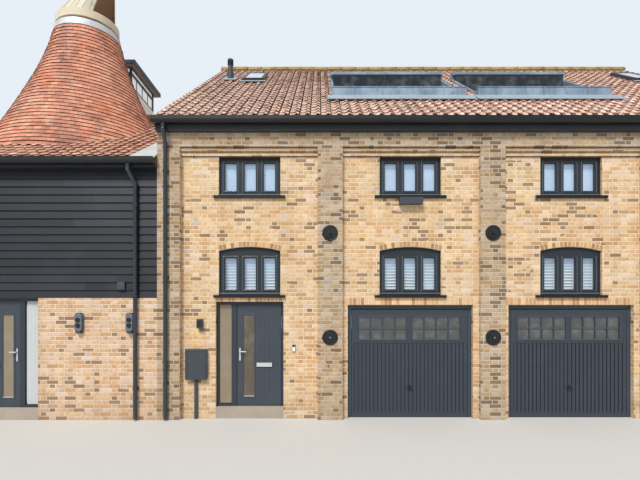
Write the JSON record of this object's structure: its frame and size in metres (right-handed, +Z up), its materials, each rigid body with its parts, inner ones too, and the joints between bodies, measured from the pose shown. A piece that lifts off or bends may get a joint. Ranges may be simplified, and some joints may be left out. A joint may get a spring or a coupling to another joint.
{
  "type": "oast house",
  "caption": "Brick oast house with a pantile roof, roof terraces and garages, and a boarded wing round a kiln with a tiled cone and turning cowl.",
  "frame": {"origin": "on the ground, at the middle of the building's width and depth", "axes": "+X along the front towards the range's party wall, +Y from the front to the back, +Z up"},
  "size_m": [19.005, 11.35, 11.35],
  "materials": {
    "brick": "yellow stock brick, fired clay, matt",
    "brick_arch": "brown headers, matt",
    "concrete": "floated concrete, matt",
    "floor_boards": "plain softwood boards",
    "pantiles": "clay pantiles, matt",
    "ridge_tiles": "clay ridge tiles with lichen",
    "black_boards": "boards stained black",
    "black_gutter": "black, low gloss",
    "lead": "weathered lead sheet, dull",
    "grey_frames": "anthracite, satin",
    "dark_sills": "dark grey, satin",
    "glass": "clear",
    "white_shutters": "white louvres",
    "black_iron": "painted black",
    "grey_fittings": "dark grey, matt",
    "zinc": "galvanised",
    "garage_grey": "anthracite, satin",
    "door_grey": "anthracite, satin",
    "plain_tiles": "orange red plain tiles, matt",
    "oak": "weathered oak",
    "white_boards": "painted white, weathered",
    "white_render": "white, matt",
    "dark_roof": "dark grey membrane"
  },
  "bodies": {
    "house": {"range_front_lower_wall": "brick", "range_front_upper_wall": "brick", "range_rear_wall": "brick", "range_gable_wall": "brick", "range_party_wall": "brick", "opening_lintels": "brick", "window_arches": "brick_arch", "entrance_thresholds": "concrete", "ground_slabs": "concrete", "range_floors": "floor_boards", "range_roof_front": "pantiles", "range_roof_rear": "pantiles", "ridge_tiles": "ridge_tiles", "eaves_boards": "black_boards", "gutters": "black_gutter", "downpipes": "black_gutter", "roof_vent_pipe": "lead", "rooflights": "grey_frames", "terrace_leadwork": "lead", "terrace_screens": "grey_frames", "upper_window_frames": "grey_frames", "lower_window_frames": "grey_frames", "rear_window_frames": "grey_frames", "window_sills": "dark_sills", "window_glass": "glass", "window_shutters": "white_shutters", "pattress_plates": "black_iron", "wall_fittings": "grey_fittings", "garage_frames": "grey_frames", "garage_tracks": "zinc", "entrance_frames": "grey_frames", "wing_base_walls": "brick", "wing_boarding": "black_boards", "wing_end_wall": "brick", "wing_first_floor": "floor_boards", "wing_roof_front": "pantiles", "wing_roof_rear": "pantiles", "lead_gutter": "lead", "kiln_wall": "brick", "kiln_cone": "plain_tiles", "kiln_collar": "lead", "cowl_spindle": "oak", "lantern_walls": "white_render", "lantern_glazing": "grey_frames", "lantern_roof": "dark_roof"},
    "entrance_1_door": {"entrance_1_leaf": "door_grey"},
    "entrance_2_door": {"entrance_2_leaf": "door_grey"},
    "wing_door": {"wing_entrance_leaf": "door_grey"},
    "garage_1_carriage": {"garage_1_rollers": "zinc"},
    "garage_1_door": {"garage_1_leaf": "garage_grey"},
    "garage_2_carriage": {"garage_2_rollers": "zinc"},
    "garage_2_door": {"garage_2_leaf": "garage_grey"},
    "cowl": {"cowl_frame": "white_boards", "cowl_shell": "white_boards"}
  },
  "joints": [
    {"name": "entrance_1_hinge", "type": "hinge", "parent": "house", "child": "entrance_1_door", "pos_m": [-0.9515, -5.178, 1.2], "axis": [0, 0, -1], "range_deg": [0, 85]},
    {"name": "entrance_2_hinge", "type": "hinge", "parent": "house", "child": "entrance_2_door", "pos_m": [7.1515, -5.178, 1.2], "axis": [0, 0, 1], "range_deg": [0, 85]},
    {"name": "wing_door_hinge", "type": "hinge", "parent": "house", "child": "wing_door", "pos_m": [-6.8285, -5.29, 1.2], "axis": [0, 0, 1], "range_deg": [0, 78]},
    {"name": "garage_1_roll", "type": "slide", "parent": "house", "child": "garage_1_carriage", "axis": [0, 1, 0], "range_m": [0, 1.246]},
    {"name": "garage_1_tilt", "type": "hinge", "parent": "garage_1_carriage", "child": "garage_1_door", "pos_m": [1.5475, -5.17, 2.062], "axis": [-1, 0, 0], "range_deg": [0, 85]},
    {"name": "garage_2_roll", "type": "slide", "parent": "house", "child": "garage_2_carriage", "axis": [0, 1, 0], "range_m": [0, 1.246]},
    {"name": "garage_2_tilt", "type": "hinge", "parent": "garage_2_carriage", "child": "garage_2_door", "pos_m": [4.6525, -5.17, 2.062], "axis": [-1, 0, 0], "range_deg": [0, 85]},
    {"name": "cowl_turn", "type": "hinge", "parent": "house", "child": "cowl", "pos_m": [-6.4025, -2.2, 9.7], "axis": [0, 0, 1], "continuous": true}
  ],
  "couplings": [
    {"joint": "garage_1_roll", "follows": "garage_1_tilt", "m_per_rad": 0.8392},
    {"joint": "garage_2_roll", "follows": "garage_2_tilt", "m_per_rad": 0.8392}
  ]
}
